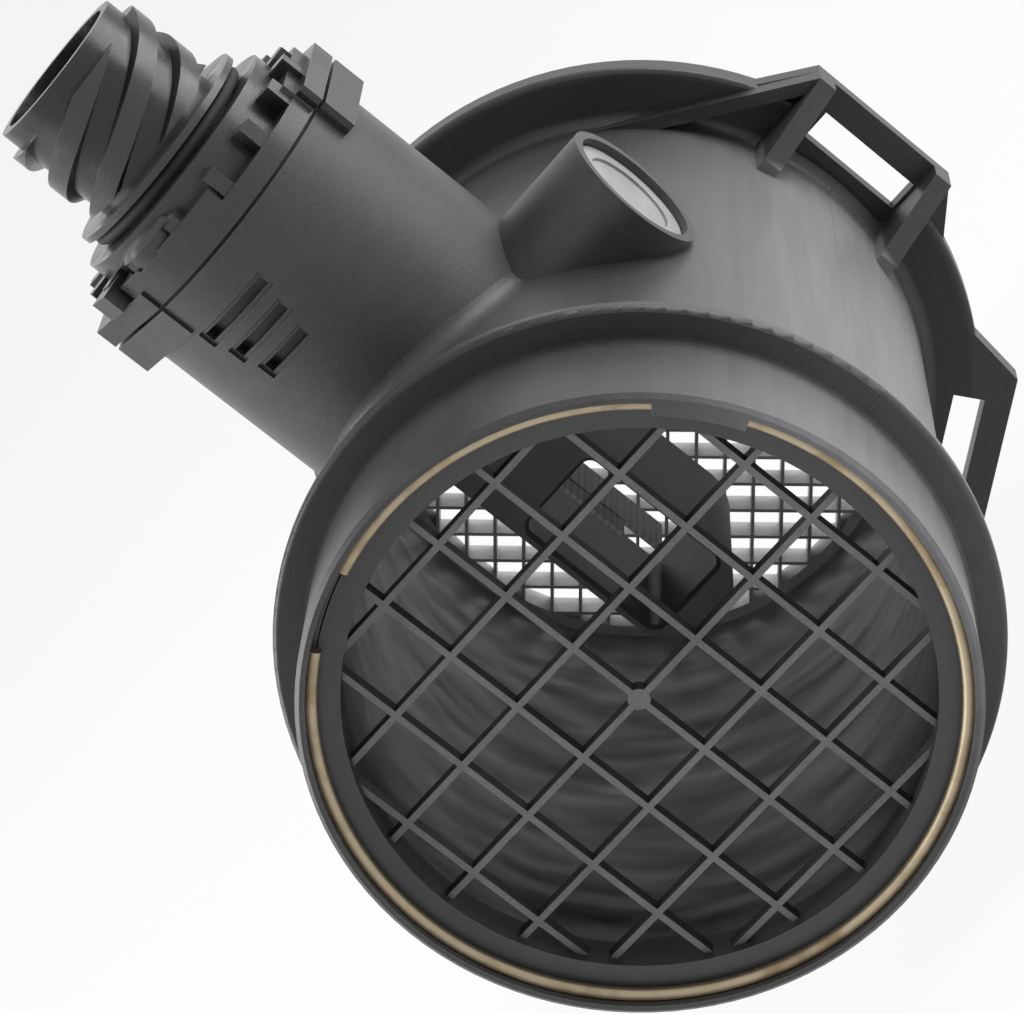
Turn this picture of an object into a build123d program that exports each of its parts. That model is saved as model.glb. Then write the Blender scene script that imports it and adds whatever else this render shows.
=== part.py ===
from build123d import *
import math
import os

os.makedirs("parts", exist_ok=True)

# A hot-film mass airflow sensor, in millimetres.
# The origin is the centre of the mounting face of the rear flange. The flow axis is Y, with the
# hose spigot towards -Y. The electronics neck stands up along +Z, and the trim boss looks along +X.

# ---- flow tube ------------------------------------------------------------------------------
TUBE_LENGTH = 114.0          # mounting face to the end of the hose spigot
BORE_R = 39.0
BODY_WALL = 4.2
SPIGOT_WALL = 2.0            # outside the seat of the grid; the hose seats on it
SPIGOT_LENGTH = 19.0         # end of the spigot to the bead
BEAD_T = 2.4
BEAD_HEIGHT = 4.4            # how far the bead stands over the spigot
LIP_CHAMFER = 0.6
FLANGE_RIM = 8.6             # how far the flange stands over the body
FLANGE_T = 4.2
FLANGE_EDGE_R = 0.8
FLANGE_ROOT_R = 2.0

# ---- slotted ears of the flange ---------------------------------------------------------------
EAR_OVERHANG = 4.2           # outer edge of an ear over the flange
EAR_TIP_WIDTH = 25.8
EAR_ROOT_WIDTH = 40.0
EAR_ROOT_DEPTH = 5.3         # root of an ear inside the rim of the flange
EAR_PLATE_T = 3.0
EAR_RIB_T = 3.0
EAR_RIB_HEIGHT = 6.5         # mounting face to the top of a rib, at the edge of an ear
EAR_GUSSET_HEIGHT = 14.8     # the same where the rib runs up the tube
EAR_WEB_T = 2.0              # wall from the corner of a ribbed ear to the tube
EAR_SLOT_LENGTH = 17.4
EAR_SLOT_WIDTH = 4.8
EAR_SLOT_INSET = 6.6         # middle of a slot from the outer edge of its ear
EAR_SLOT_SHIFT = -0.8        # the slot of a ribbed ear lies this much beside its middle
RIBBED_EAR_ANGLES = (0.0, 180.0)
PLAIN_EAR_ANGLES = (-60.0, 120.0)

# ---- electronics neck ---------------------------------------------------------------------------
NECK_Y = -54.0               # neck axis, along the flow axis
NECK_R = 21.8
NECK_FLOOR_T = 2.8           # floor of the neck over the body of the tube
NECK_DEPTH = 28.0            # room for the electronics, floor to rim
NECK_WALL = 3.3
NECK_FILLET_R = 3.0
LUG_SIDE_STEP = 0.5          # flat side of a neck lug, outside the neck
LUG_CORNER_DROP = 10.4       # corner of a lug, short of the neck's radius along the flow
LUG_SIDE_START = -8.0
LUG_BACK_ANGLE = 60.0
LUG_BACK_STEP = 0.5          # the end of the slanted back stands this far over the neck
LUG_HEIGHT = 5.0
LOUVRE_DROP = 5.8            # rim of the neck to the top louvre
LOUVRE_PITCH = 4.3
LOUVRE_ANGLES = ((-118.5, -85.0), (-115.5, -88.0), (-112.5, -91.0))   # one pair for each row, from the top
LOUVRE_FRAME_HEIGHT = 2.8    # shallow window round a slot
LOUVRE_FRAME_DEPTH = 0.5
LOUVRE_HEIGHT = 1.5
LOUVRE_DEPTH = 2.2
LOUVRE_MARGIN = 1.4          # degrees of the shallow window past each end of the slot

# ---- trim boss ---------------------------------------------------------------------------------
BOSS_R = 10.75
BOSS_Z = 33.2
BOSS_END_X = 38.0
CAP_SEAT_R = 9.4
CAP_SEAT_DEPTH = 3.0
CAP_T = 1.8
CAP_DISH_DEPTH = 0.4
CAP_DISH_R = 6.8
POT_SEAT_R = 6.3
POT_SEAT_DEPTH = 3.5         # below the seat of the cap
POT_T = 2.3
POT_SCREW_R = 2.6
POT_SCREW_T = 2.0
POT_SCREW_DEPTH = 1.2        # sunk into the potentiometer
POT_SCREW_SLOT = 0.8
TRIM_LEADS = 3
TRIM_LEAD_PITCH = 2.0
TRIM_LEAD_R = 0.35
LEAD_WAY_T = 1.6             # moulded way of the trim leads, across and between the boss and the neck
LEAD_WAY_WIDTH = 6.4
LEAD_WAY_INSET = 2.1         # middle of the way, inside the wall of the neck's room
LEAD_WAY_RISE = 4.4          # over the axis of the boss
TRIM_LEAD_RISE = 1.5         # loop of the trim leads over the circuit board
TRIM_LEAD_END_X = 9.4
TRIM_LEAD_BEND_R = 0.6

# ---- protective grid and its ring, in the spigot -------------------------------------------------
GRID_SHOULDER = 3.0          # ledge that the rim of the grid stands on, outside the bore
GRID_FRONT = 3.0             # end of the spigot to the rim of the grid
GRID_DEPTH = 6.0
GRID_RIM_T = 3.5
GRID_BAR_T = 0.9
GRID_BAR_DEPTH = 2.2
GRID_BAR_RECESS = 1.5        # bars lie behind the face of the rim
GRID_PITCH = 11.1
GRID_BARS_EACH_SIDE = 3
GRID_HUB_R = 1.5
RING_WIRE_R = 0.9
RING_GROOVE_DEPTH = 0.95
RING_MOUTH_STEP = 0.7        # opening in front of the ring, outside the seat of the grid
RING_GAP_ANGLES = (103.5, 119.5)
RING_TAB_ANGLES = (22.0, 38.5)
RING_TAB_T = 0.7

# ---- flow straightener and its ring, in the flange ------------------------------------------------
STRAIGHTENER_SHOULDER = 1.4  # ledge behind the rim of the straightener, outside the bore
STRAIGHTENER_SEAT_DEPTH = 7.6
STRAIGHTENER_T = 5.2
STRAIGHTENER_RIM_T = 2.8
STRAIGHTENER_WALL = 0.5
STRAIGHTENER_PITCH = 4.4
STRAIGHTENER_TURN = 40.0
REAR_WIRE_R = 0.7
REAR_GAP_ANGLE = 12.0
SEAL_STEP = 1.8              # middle of the seal outside the body
SEAL_WIDTH = 2.6
SEAL_DEPTH = 2.0

# ---- measuring duct ------------------------------------------------------------------------------
DUCT_WIDTH = 16.6            # across the flow
DUCT_END_GAP = 5.8           # round edge of its flange to the end of the duct, along the flow
DUCT_Y = -52.5               # middle of the duct, along the flow axis
DUCT_TIP_Z = -14.6
DUCT_TIP_R = 8.0
CHANNEL_WALL = 1.4           # between the channel and the side of the duct
CHANNEL_TOP_Z = 15.0
CHANNEL_BOTTOM_Z = -9.0
CHANNEL_CORNER_R = 1.5
CHANNEL_MOUTH = 0.6          # chamfer at both mouths of the channel
DUCT_ROOF_T = 3.8
DUCT_WELL_SIDE_T = 2.3
DUCT_WELL_END_T = 2.5
DUCT_GROOVE_WIDTH = 3.0
DUCT_GROOVE_DEPTH = 0.7
DUCT_GROOVE_LOW_Z = 17.0
DUCT_FLANGE_T = 2.0
GASKET_T = 0.6

# ---- sensing pieces ---------------------------------------------------------------------------------
FILM_T = 0.6
FILM_LENGTH = 9.0
FILM_TIP_Z = -4.0
FILM_STAND = 6.2             # over the holder
AIR_FILM_LENGTH = 4.0
AIR_FILM_TIP_Z = 3.0
AIR_FILM_STAND = 1.2
AIR_FILM_LEAD = 7.2          # this film stands nearer the spigot, from middle to middle
HOLDER_WIDTH = 6.0
HOLDER_LENGTH = 15.0
HOLDER_HEIGHT = 5.0
HOLDER_END_GAP = 0.2         # holder to the mouth end of its well
FILM_LEAD = 2.3              # middle of the hot film from the middle of the holder
FILM_LEADS = 4
AIR_FILM_LEADS = 2
SENSOR_LEAD_R = 0.25
SENSOR_LEAD_PITCH = 2.0

# ---- electronics ----------------------------------------------------------------------------------
BASE_PLATE_T = 1.5
BOARD_T = 1.0
BOARD_SIDE_GAP = 8.0         # round edge of the base plate to the long side of the board
BOARD_END_GAP = 4.8
CHIP_SIZE = 6.0
CHIP_T = 1.2
CHIP_EDGE = (1.5, 1.7)       # from the side and the end of the board
CAPACITOR_WIDTH = 2.0
CAPACITOR_LENGTH = 3.2
CAPACITOR_T = 1.6
CAPACITOR_COUNT = 3
CAPACITOR_PITCH = 4.0
CAPACITOR_EDGE = (1.2, 5.5)  # from the other side and the same end of the board
LEAD_SLOT_WIDTH = 3.0
LEAD_SLOT_MARGIN = 1.0       # past the outermost sensor lead
SCREW_INSET = 4.8            # from the round edge of the base plate, across the flow
SCREW_SHIFT = 6.0            # along the flow; the second screw is the first turned half round
SCREW_R = 1.5
SCREW_HEAD_R = 2.6
SCREW_HEAD_T = 2.0
SCREW_DEPTH = 6.0            # into the floor of the neck
SCREW_DRIVE_R = 1.2
SCREW_DRIVE_DEPTH = 1.1

# ---- connector cover --------------------------------------------------------------------------------
COVER_SEAL_T = 0.5
COVER_SEAL_INSET = 0.7
COVER_PLATE_T = 3.2
COVER_LUG_T = 5.2            # one lug is raised, inside the edge of the plate
COVER_LUG_INSET = 1.8
COVER_LUG_WIDTH = 3.4
COVER_SKIRT_DEPTH = 3.0
COVER_SKIRT_T = 1.6
COLLAR_INSET = 3.6           # foot of the collar inside the edge of the plate
COLLAR_HEIGHT = 5.8
COVER_RIBS = 16
COVER_RIB_T = 2.2
COVER_RIB_HEIGHT = 3.6
COLLAR_WALL = 2.6
SEAL_CORE_INSET = 5.0        # bottom of the seal groove inside the collar
SEAL_GAP = 2.2
CONNECTOR_SEAL_WIRE_R = 0.9
COLLAR_FLANGE_INSET = 2.3
COLLAR_FLANGE_T = 1.0
SHELL_INSET = 1.7            # threaded shell inside the bottom of the seal groove
SHELL_WALL = 1.6
SHELL_HEIGHT = 17.0
SHELL_FLOOR_T = 1.6
THREAD_STARTS = 4
THREAD_START_ANGLE = 45.0
THREAD_LEAD = 28.0
THREAD_HEIGHT = 1.6
THREAD_FOOT = 1.0            # ridge starts this far over the collar flange
THREAD_TOP_GAP = 3.0         # plain rim over the ridges
THREAD_ARC = 52.0            # degrees of the shell that one ridge takes up
THREAD_FLANK = 6.0           # degrees that each flank of a ridge leans in
SHOULDER_ANGLES = (-126.0, -72.0)
SHOULDER_HEIGHT = 2.4
PORT_R = 5.6
PORT_ANGLE = -107.0
PORT_INSET = 5.7             # middle of the port from the edge of the plate
PORT_HEIGHT = 4.6
PORT_EDGE = 0.7
PORT_GROOVE = 0.4            # gap round the foot of the port, across and deep
STUD_SIZE = 4.2
STUD_ANGLE = -134.0
STUD_INSET = 0.2
STUD_HEIGHT = 3.4

# ---- contacts -------------------------------------------------------------------------------------
PIN_COUNT = 5
PIN_R = 0.8
PIN_CIRCLE_R = 5.0
PIN_TIP_DROP = 5.0           # tips stay this far inside the shell
PIN_START_ANGLE = -90.0
PIN_TAIL = 2.0               # below the insert
INSERT_WALL = 2.0            # insert outside the circle of the pins
INSERT_FLANGE_T = 2.0
INSERT_DEPTH = 3.6           # below the floor of the shell's socket
CONTACT_LEAD_R = 0.4

# ---- fits ---------------------------------------------------------------------------------------------
FIT = 0.2                    # all round, between a piece and its seat
FINE_FIT = 0.1               # all round a film, a pin or a wire in its hole

# ---- sizes that follow --------------------------------------------------------------------------------
SPIGOT_Y = -TUBE_LENGTH
BEAD_Y = SPIGOT_Y + SPIGOT_LENGTH
BODY_R = BORE_R + BODY_WALL
GRID_SEAT_R = BORE_R + GRID_SHOULDER
SPIGOT_R = GRID_SEAT_R + SPIGOT_WALL
BEAD_R = SPIGOT_R + BEAD_HEIGHT
FLANGE_Y = -FLANGE_T
FLANGE_R = BODY_R + FLANGE_RIM
EAR_REACH = FLANGE_R + EAR_OVERHANG
EAR_ROOT_REACH = FLANGE_R - EAR_ROOT_DEPTH
EAR_SLOT_REACH = EAR_REACH - EAR_SLOT_INSET
SEAL_R = BODY_R + SEAL_STEP
NECK_FLOOR_Z = BODY_R + NECK_FLOOR_T
NECK_TOP_Z = NECK_FLOOR_Z + NECK_DEPTH
CORNER_REACH = (NECK_R + LUG_SIDE_STEP, NECK_R - LUG_CORNER_DROP)   # from the neck axis
LOUVRE_TOP_Z = NECK_TOP_Z - LOUVRE_DROP
NECK_CAVITY_R = NECK_R - NECK_WALL
GRID_Y = SPIGOT_Y + GRID_FRONT
GRID_SEAT_Y = GRID_Y + GRID_DEPTH
GRID_R = GRID_SEAT_R - FIT
RING_Y = GRID_Y - RING_WIRE_R
RING_R = GRID_SEAT_R + RING_GROOVE_DEPTH - RING_WIRE_R
RING_MOUTH_R = GRID_SEAT_R + RING_MOUTH_STEP
STRAIGHTENER_Y = -STRAIGHTENER_SEAT_DEPTH
STRAIGHTENER_SEAT_R = BORE_R + STRAIGHTENER_SHOULDER
STRAIGHTENER_R = STRAIGHTENER_SEAT_R - FIT
REAR_RING_Y = STRAIGHTENER_Y + STRAIGHTENER_T + REAR_WIRE_R
REAR_RING_R = STRAIGHTENER_SEAT_R
CAP_SEAT_X = BOSS_END_X - CAP_SEAT_DEPTH
POT_SEAT_X = CAP_SEAT_X - POT_SEAT_DEPTH
LEAD_WAY_X = NECK_CAVITY_R - LEAD_WAY_INSET
LEAD_WAY_Z = BOSS_Z + LEAD_WAY_RISE
GASKET_TOP_Z = NECK_FLOOR_Z + GASKET_T
DUCT_TOP_Z = GASKET_TOP_Z + DUCT_FLANGE_T
BASE_PLATE_TOP_Z = DUCT_TOP_Z + BASE_PLATE_T
BOARD_TOP_Z = BASE_PLATE_TOP_Z + BOARD_T
INNER_DISC_R = NECK_CAVITY_R - FIT
BOARD_WIDTH = 2 * (INNER_DISC_R - BOARD_SIDE_GAP)
BOARD_LENGTH = 2 * (INNER_DISC_R - BOARD_END_GAP)
SCREW_PLACE = (INNER_DISC_R - SCREW_INSET, SCREW_SHIFT)
CHIP_PLACE = ((BOARD_WIDTH - CHIP_SIZE) / 2 - CHIP_EDGE[0], (BOARD_LENGTH - CHIP_SIZE) / 2 - CHIP_EDGE[1])
CAPACITOR_PLACE = (CAPACITOR_EDGE[0] - (BOARD_WIDTH - CAPACITOR_LENGTH) / 2,
                   (BOARD_LENGTH - CAPACITOR_WIDTH) / 2 - CAPACITOR_EDGE[1])
WELL_FLOOR_Z = CHANNEL_TOP_Z + DUCT_ROOF_T
FILM_TOP_Z = WELL_FLOOR_Z + HOLDER_HEIGHT + FILM_STAND
AIR_FILM_TOP_Z = WELL_FLOOR_Z + HOLDER_HEIGHT + AIR_FILM_STAND
COVER_Z = NECK_TOP_Z + COVER_SEAL_T
PLATE_TOP_Z = COVER_Z + COVER_PLATE_T
COLLAR_R = NECK_R - COLLAR_INSET
COLLAR_TOP_Z = PLATE_TOP_Z + COLLAR_HEIGHT
SEAL_CORE_R = COLLAR_R - SEAL_CORE_INSET
COLLAR_FLANGE_R = COLLAR_R - COLLAR_FLANGE_INSET
COLLAR_FLANGE_Z = COLLAR_TOP_Z + SEAL_GAP
SHELL_Z = COLLAR_FLANGE_Z + COLLAR_FLANGE_T
SHELL_TOP_Z = SHELL_Z + SHELL_HEIGHT
SHELL_R = SEAL_CORE_R - SHELL_INSET
SHELL_BORE_R = SHELL_R - SHELL_WALL
SHELL_FLOOR_Z = SHELL_Z + SHELL_FLOOR_T
COVER_BORE_R = COLLAR_R - COLLAR_WALL
PORT_REACH = NECK_R - PORT_INSET
STUD_REACH = NECK_R - STUD_INSET
INSERT_R = PIN_CIRCLE_R + INSERT_WALL
CORE_BORE_R = SEAL_CORE_R - COLLAR_WALL
INSERT_FOOT_Z = SHELL_FLOOR_Z - INSERT_DEPTH
PIN_FOOT_Z = INSERT_FOOT_Z - PIN_TAIL
PIN_TIP_Z = SHELL_TOP_Z - PIN_TIP_DROP
DUCT_LENGTH = 2 * (INNER_DISC_R - DUCT_END_GAP)
DUCT_FRONT_Y = DUCT_Y - DUCT_LENGTH / 2
DUCT_SHIFT = DUCT_Y - NECK_Y
CHANNEL_WIDTH = DUCT_WIDTH - 2 * CHANNEL_WALL
DUCT_WELL_WIDTH = DUCT_WIDTH - 2 * DUCT_WELL_SIDE_T
DUCT_WELL_LENGTH = DUCT_LENGTH - 2 * DUCT_WELL_END_T
HOLDER_PLACE = (0.0, DUCT_SHIFT - (DUCT_WELL_LENGTH - HOLDER_LENGTH) / 2 + HOLDER_END_GAP)
FILM_PLACE = (0.0, HOLDER_PLACE[1] + FILM_LEAD)
AIR_FILM_PLACE = (0.0, FILM_PLACE[1] - AIR_FILM_LEAD)
FILM_LEAD_Y = [FILM_PLACE[1] + (i - (FILM_LEADS - 1) / 2) * SENSOR_LEAD_PITCH for i in range(FILM_LEADS)]
AIR_LEAD_Y = [AIR_FILM_PLACE[1] + (i - (AIR_FILM_LEADS - 1) / 2) * SENSOR_LEAD_PITCH
              for i in range(AIR_FILM_LEADS)]
LEAD_SLOT_LENGTH = max(FILM_LEAD_Y) - min(AIR_LEAD_Y) + 2 * LEAD_SLOT_MARGIN
LEAD_SLOT_PLACE = (0.0, (max(FILM_LEAD_Y) + min(AIR_LEAD_Y)) / 2)
TRIM_LEAD_SPREAD = [(i - (TRIM_LEADS - 1) / 2) * TRIM_LEAD_PITCH for i in range(TRIM_LEADS)]

AXIS_PLANE = Plane.XZ                                   # faces -Y, with X across and Z up
NECK_PLANE = Plane(origin=(0, NECK_Y, 0))


def flow_plane(y):
    """Plane across the tube at y, facing the spigot."""
    return AXIS_PLANE.offset(-y)


def neck_plane(z):
    """Plane across the neck at height z, centred on the neck axis."""
    return NECK_PLANE.offset(z)


def polar(radius, angle):
    """Point at a radius and an angle in degrees."""
    return (radius * math.cos(math.radians(angle)), radius * math.sin(math.radians(angle)))


def wedge(first_angle, last_angle, reach, mode=Mode.INTERSECT):
    """Sector of a sketch between two angles less than half a turn apart."""
    middle = (first_angle + last_angle) / 2
    Polygon((0, 0), polar(reach, first_angle), polar(2 * reach, middle), polar(reach, last_angle),
            align=None, mode=mode)


def radial_plane(angle):
    """Plane through the flow axis at an angle from +X; its x is the radius and its y is the flow axis."""
    across, up = polar(1, angle)
    return Plane(origin=(0, 0, 0), x_dir=(across, 0, up), z_dir=(-up, 0, across))


def corner_lug(inset=0.0):
    """Outline of one corner lug of the neck and the cover: a flat side and a slanted back."""
    side_x = CORNER_REACH[0] - inset
    corner = (side_x, CORNER_REACH[1] - inset)
    back = polar(NECK_R + LUG_BACK_STEP - inset, LUG_BACK_ANGLE)
    Polygon((0, 0), (side_x - 1, LUG_SIDE_START), (side_x, LUG_SIDE_START), corner, back, align=None)


def neck_outline(radius):
    """Round outline of the neck with its two corner lugs."""
    Circle(radius)
    for turn in (0, 180):
        with Locations(Rotation(0, 0, turn)):
            corner_lug()


# ---- housing: tube, bead, flange with ears, neck and trim boss, moulded in one ---------------------------
with BuildPart() as housing:
    with BuildSketch(Plane.YZ):
        with BuildLine():
            Polyline((SPIGOT_Y, 0), (SPIGOT_Y, SPIGOT_R - LIP_CHAMFER), (SPIGOT_Y + LIP_CHAMFER, SPIGOT_R),
                     (BEAD_Y, SPIGOT_R), (BEAD_Y, BEAD_R), (BEAD_Y + BEAD_T, BEAD_R),
                     (BEAD_Y + BEAD_T, BODY_R), (FLANGE_Y, BODY_R), (FLANGE_Y, FLANGE_R),
                     (0, FLANGE_R), (0, 0), close=True)
        make_face()
    revolve(axis=Axis.Y)
    rims = housing.edges().filter_by(GeomType.CIRCLE)
    fillet(rims.filter_by(lambda e: abs(e.radius - BEAD_R) < 0.01), BEAD_T / 3)
    flange_front = rims.filter_by(lambda e: abs(e.center().Y - FLANGE_Y) < 0.01)
    fillet(flange_front.filter_by(lambda e: abs(e.radius - BODY_R) < 0.01), FLANGE_ROOT_R)
    rims = housing.edges().filter_by(GeomType.CIRCLE)
    fillet(rims.filter_by(lambda e: abs(e.radius - FLANGE_R) < 0.01).sort_by(Axis.Y)[0], FLANGE_EDGE_R)
    # neck, with a soft root on the tube
    with BuildSketch(neck_plane(0)):
        Circle(NECK_R)
    extrude(amount=NECK_TOP_Z)
    neck_root = housing.edges().filter_by(lambda e: e.geom_type == GeomType.BSPLINE)
    fillet(neck_root.filter_by(lambda e: e.center().Z > 0), NECK_FILLET_R)
    with BuildSketch(neck_plane(NECK_TOP_Z - LUG_HEIGHT)):
        neck_outline(NECK_R)
    extrude(amount=LUG_HEIGHT)
    # trim boss
    with BuildSketch(Plane.YZ):
        with Locations((NECK_Y, BOSS_Z)):
            Circle(BOSS_R)
    extrude(amount=BOSS_END_X)
    # ears: a plate with a slot, and side ribs on two of them
    for ear_angle in RIBBED_EAR_ANGLES + PLAIN_EAR_ANGLES:
        with BuildSketch(AXIS_PLANE):
            with Locations(Rotation(0, 0, ear_angle)):
                Polygon((EAR_ROOT_REACH, -EAR_ROOT_WIDTH / 2), (EAR_REACH, -EAR_TIP_WIDTH / 2),
                        (EAR_REACH, EAR_TIP_WIDTH / 2), (EAR_ROOT_REACH, EAR_ROOT_WIDTH / 2), align=None)
        extrude(amount=EAR_PLATE_T if ear_angle in RIBBED_EAR_ANGLES else FLANGE_T)
    corner_r = math.hypot(EAR_REACH, EAR_TIP_WIDTH / 2)
    corner_angle = math.degrees(math.atan2(EAR_TIP_WIDTH / 2, EAR_REACH))
    web_angle = corner_angle + math.degrees(math.acos(BODY_R / corner_r))
    for ear_angle in RIBBED_EAR_ANGLES:
        # a pocket between the ribs takes the front of the flange away
        with BuildSketch(flow_plane(-EAR_PLATE_T)):
            with Locations(Rotation(0, 0, ear_angle)):
                with Locations(((BODY_R + EAR_REACH) / 2 + 1, 0)):
                    Rectangle(EAR_REACH - BODY_R, EAR_TIP_WIDTH - 2 * EAR_RIB_T)
        extrude(amount=FLANGE_T - EAR_PLATE_T, mode=Mode.SUBTRACT)
        for side in (-1, 1):
            with BuildSketch(radial_plane(ear_angle).offset(side * (EAR_TIP_WIDTH - EAR_RIB_T) / 2)):
                Polygon((BORE_R + 1, -EAR_PLATE_T), (EAR_REACH, -EAR_PLATE_T), (EAR_REACH, -EAR_RIB_HEIGHT),
                        (BODY_R, -EAR_GUSSET_HEIGHT), (BORE_R + 1, -EAR_GUSSET_HEIGHT), align=None)
            extrude(amount=EAR_RIB_T / 2, both=True)
        # a wall runs from one corner of the ear and meets the tube at a tangent
        with BuildSketch(flow_plane(-EAR_PLATE_T)):
            with Locations(Rotation(0, 0, ear_angle + web_angle)):
                with Locations((BODY_R - EAR_WEB_T / 2, -math.sqrt(corner_r**2 - BODY_R**2) / 2)):
                    Rectangle(EAR_WEB_T, math.sqrt(corner_r**2 - BODY_R**2))
        extrude(amount=EAR_RIB_HEIGHT - EAR_PLATE_T)
    # bore with the seats of the grid and the straightener
    with BuildSketch(Plane.YZ):
        with BuildLine():
            Polyline((SPIGOT_Y, 0), (SPIGOT_Y, RING_MOUTH_R), (RING_Y, RING_MOUTH_R), (RING_Y, GRID_SEAT_R),
                     (GRID_SEAT_Y, GRID_SEAT_R), (GRID_SEAT_Y, BORE_R),
                     (STRAIGHTENER_Y, BORE_R), (STRAIGHTENER_Y, STRAIGHTENER_SEAT_R),
                     (0, STRAIGHTENER_SEAT_R), (0, 0), close=True)
        make_face()
    revolve(axis=Axis.Y, mode=Mode.SUBTRACT)
    # grooves of the two wire rings
    for ring_y, ring_r, wire_r in ((RING_Y, RING_R, RING_WIRE_R), (REAR_RING_Y, REAR_RING_R, REAR_WIRE_R)):
        with BuildSketch(Plane.YZ):
            with Locations((ring_y, ring_r)):
                Rectangle(2 * wire_r + FIT / 2, 2 * wire_r + FIT / 2)
        revolve(axis=Axis.Y, mode=Mode.SUBTRACT)
    # lip tab that hooks over the front wire ring
    with BuildSketch(flow_plane(SPIGOT_Y)):
        Circle(RING_R + RING_WIRE_R)
        Circle(RING_R - RING_WIRE_R, mode=Mode.SUBTRACT)
        wedge(*RING_TAB_ANGLES, 2 * SPIGOT_R)
    extrude(amount=-RING_TAB_T)
    # seal groove in the mounting face
    with BuildSketch(AXIS_PLANE):
        Circle(SEAL_R + SEAL_WIDTH / 2)
        Circle(SEAL_R - SEAL_WIDTH / 2, mode=Mode.SUBTRACT)
    extrude(amount=SEAL_DEPTH, mode=Mode.SUBTRACT)
    # ear slots
    for ear_angle in RIBBED_EAR_ANGLES + PLAIN_EAR_ANGLES:
        with BuildSketch(AXIS_PLANE):
            with Locations(Rotation(0, 0, ear_angle)):
                with Locations((EAR_SLOT_REACH, EAR_SLOT_SHIFT if ear_angle in RIBBED_EAR_ANGLES else 0)):
                    Rectangle(EAR_SLOT_WIDTH, EAR_SLOT_LENGTH)
        extrude(amount=FLANGE_T, mode=Mode.SUBTRACT)
    # room for the electronics, and the way down into the tube
    with BuildSketch(neck_plane(NECK_FLOOR_Z)):
        Circle(NECK_CAVITY_R)
    extrude(amount=NECK_TOP_Z - NECK_FLOOR_Z, mode=Mode.SUBTRACT)
    with BuildSketch(neck_plane(0)):
        with Locations((0, DUCT_SHIFT)):
            Rectangle(DUCT_WIDTH + 2 * FIT, DUCT_LENGTH + 2 * FIT)
    extrude(amount=NECK_FLOOR_Z, mode=Mode.SUBTRACT)
    for turn in (0, 180):
        with BuildSketch(neck_plane(NECK_FLOOR_Z)):
            with Locations(Rotation(0, 0, turn)):
                with Locations(SCREW_PLACE):
                    Circle(SCREW_R)
        extrude(amount=-SCREW_DEPTH, mode=Mode.SUBTRACT)
    # louvres in the side of the neck: a slot in a shallow window, row by row
    for row, (first_angle, last_angle) in enumerate(LOUVRE_ANGLES):
        for margin, height, depth in ((LOUVRE_MARGIN, LOUVRE_FRAME_HEIGHT, LOUVRE_FRAME_DEPTH),
                                      (0, LOUVRE_HEIGHT, LOUVRE_DEPTH)):
            middle_z = LOUVRE_TOP_Z - LOUVRE_FRAME_HEIGHT / 2 - row * LOUVRE_PITCH
            with BuildSketch(neck_plane(middle_z - height / 2)):
                Circle(NECK_R + 1)
                Circle(NECK_R - depth, mode=Mode.SUBTRACT)
                wedge(first_angle - margin, last_angle + margin, 2 * NECK_R)
            extrude(amount=height, mode=Mode.SUBTRACT)
    # seats in the trim boss
    for seat_x, seat_r in ((CAP_SEAT_X, CAP_SEAT_R), (POT_SEAT_X, POT_SEAT_R)):
        with BuildSketch(Plane.YZ.offset(seat_x)):
            with Locations((NECK_Y, BOSS_Z)):
                Circle(seat_r)
        extrude(amount=BOSS_END_X - seat_x, mode=Mode.SUBTRACT)
    # way of the trim leads, from behind the potentiometer up into the neck
    with BuildSketch(Plane.YZ.offset(LEAD_WAY_X - LEAD_WAY_T / 2)):
        with Locations((NECK_Y, LEAD_WAY_Z)):
            Rectangle(LEAD_WAY_WIDTH, LEAD_WAY_T)
    extrude(amount=POT_SEAT_X - LEAD_WAY_X + LEAD_WAY_T / 2, mode=Mode.SUBTRACT)
    with BuildSketch(neck_plane(LEAD_WAY_Z)):
        with Locations((LEAD_WAY_X, 0)):
            Rectangle(LEAD_WAY_T, LEAD_WAY_WIDTH)
    extrude(amount=NECK_FLOOR_Z - LEAD_WAY_Z, mode=Mode.SUBTRACT)
housing.part.label = "housing"
export_step(housing.part, "parts/housing.step")


AGAINST_FLOW = Axis((0, 0, 0), (0, -1, 0))


def wire_ring(name, ring_y, ring_r, wire_r, gap_start, gap_end):
    """Open spring ring of round wire, from the end of its gap round to the start of it."""
    with BuildPart() as ring:
        with BuildSketch(radial_plane(gap_end)):
            with Locations((ring_r, ring_y)):
                Circle(wire_r)
        revolve(axis=AGAINST_FLOW, revolution_arc=360 - (gap_end - gap_start))
    ring.part.label = name
    export_step(ring.part, f"parts/{name}.step")


# ---- protective grid: a rim, square bars and a small hub, moulded in one -----------------------------------
GRID_OPENING_R = GRID_R - GRID_RIM_T
with BuildPart() as protective_grid:
    with BuildSketch(flow_plane(GRID_Y)):
        Circle(GRID_R)
        Circle(GRID_OPENING_R, mode=Mode.SUBTRACT)
    extrude(amount=-GRID_DEPTH)
    with BuildSketch(flow_plane(GRID_Y + GRID_BAR_RECESS)):
        for row in range(-GRID_BARS_EACH_SIDE, GRID_BARS_EACH_SIDE + 1):
            with Locations((0, row * GRID_PITCH)):
                Rectangle(2 * GRID_R, GRID_BAR_T)
            with Locations((row * GRID_PITCH, 0)):
                Rectangle(GRID_BAR_T, 2 * GRID_R)
        Circle(GRID_HUB_R)
        Circle(GRID_OPENING_R + GRID_RIM_T / 2, mode=Mode.INTERSECT)
    extrude(amount=-GRID_BAR_DEPTH)
protective_grid.part.label = "protective_grid"
export_step(protective_grid.part, "parts/protective_grid.step")

wire_ring("grid_snap_ring", RING_Y, RING_R, RING_WIRE_R, *RING_GAP_ANGLES)


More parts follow.
